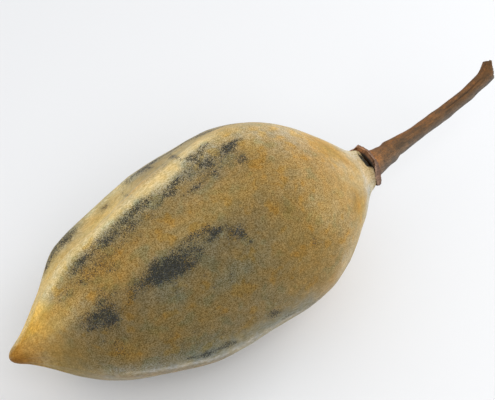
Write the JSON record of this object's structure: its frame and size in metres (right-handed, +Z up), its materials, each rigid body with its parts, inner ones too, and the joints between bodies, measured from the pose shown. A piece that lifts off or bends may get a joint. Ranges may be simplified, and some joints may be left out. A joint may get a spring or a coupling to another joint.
{
  "type": "baobab fruit pod",
  "caption": "Egg-shaped woody fruit pod with a pointed tip, low lengthwise ribs and a velvety skin, with its dried calyx and bent stalk, lying on a small flat spot.",
  "frame": {"origin": "centre of the small flat spot that the pod lies on, on the ground", "axes": "+Z up; +X along the pod from its tip towards its stalk; +Y to the side, away from the picture's viewer"},
  "size_m": [0.2575, 0.0896, 0.0903],
  "materials": {
    "pod_rind": "matte",
    "calyx_dry": "matte",
    "stalk_wood": "matte"
  },
  "bodies": {
    "root": {"pod": "pod_rind", "calyx_collar": "calyx_dry", "stalk": "stalk_wood"}
  },
  "joints": []
}
